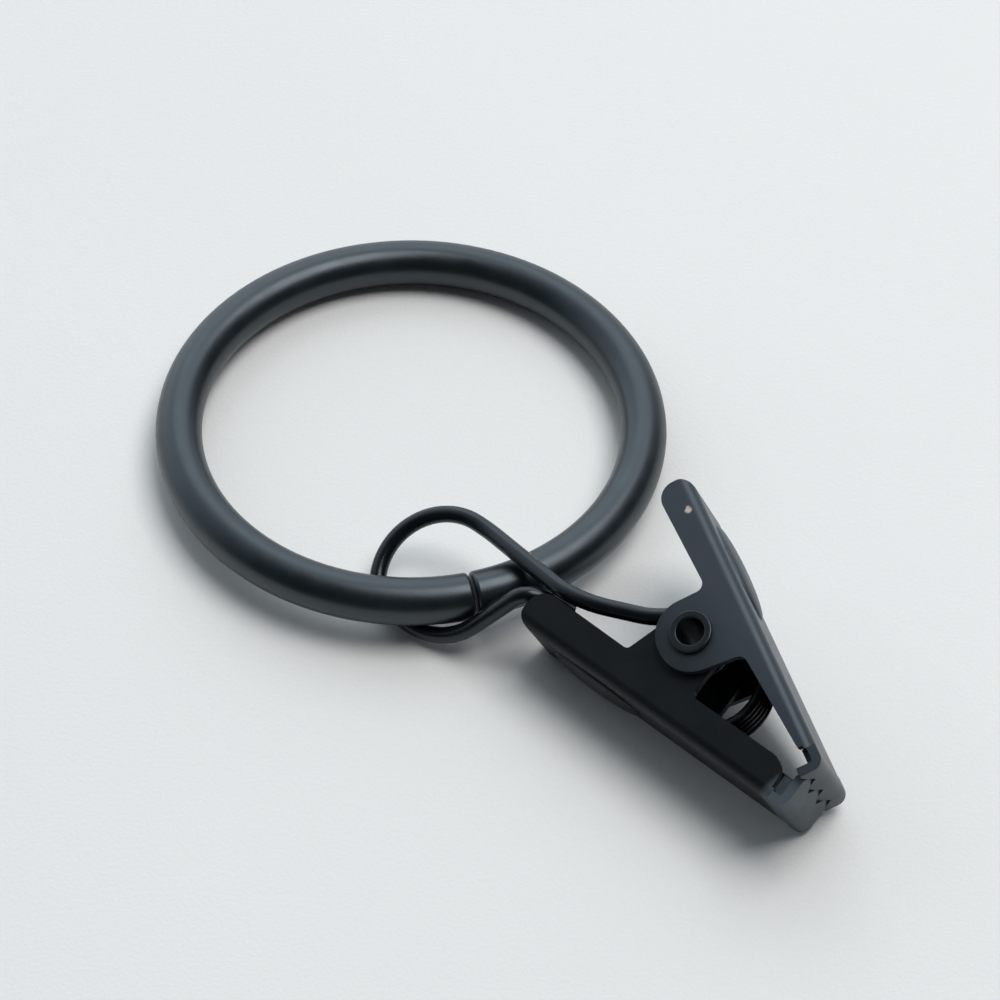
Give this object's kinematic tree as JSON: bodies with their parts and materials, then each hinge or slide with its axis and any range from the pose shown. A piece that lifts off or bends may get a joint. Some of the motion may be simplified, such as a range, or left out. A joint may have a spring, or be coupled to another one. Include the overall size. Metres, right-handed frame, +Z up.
{
  "type": "curtain ring with clip",
  "caption": "Round metal curtain ring with a wire loop carrying a sprung sheet-metal clip with toothed jaws, for hanging a curtain from a rod.",
  "frame": {"origin": "under the middle of the whole set as it lies, on the surface", "axes": "+Z up from the surface, +Y away from the clip across the ring, +X to the right of the ring"},
  "size_m": [0.0596, 0.0686, 0.0159],
  "materials": {
    "ring": "satin black coating",
    "wire_loop": "satin black coating",
    "outer_jaw": "satin black coating",
    "inner_jaw": "satin black coating",
    "rivet": "satin black coating",
    "spring": "dark spring steel"
  },
  "bodies": {
    "ring": {"ring": "ring"},
    "loop": {"wire_loop": "wire_loop"},
    "inner": {"inner_jaw": "inner_jaw", "rivet": "rivet", "spring": "spring"},
    "outer": {"outer_jaw": "outer_jaw"}
  },
  "joints": [
    {"name": "loop_run", "type": "hinge", "parent": "ring", "child": "loop", "pos_m": [-0.00658, 0.01111, 0.003], "axis": [0, 0.0427, 0.9991], "continuous": true},
    {"name": "clip_swing", "type": "hinge", "parent": "loop", "child": "inner", "pos_m": [0.01828, -0.01792, 0.00712], "axis": [-0.309, -0.2903, 0.9057], "range_deg": [0, 22]},
    {"name": "jaw_open", "type": "hinge", "parent": "inner", "child": "outer", "pos_m": [0.01828, -0.01792, 0.00712], "axis": [-0.309, -0.2903, 0.9057], "range_deg": [0, 30], "stiffness_Nm_per_rad": 0.03, "springref_deg": -57.3, "deforming": ["spring"]}
  ]
}
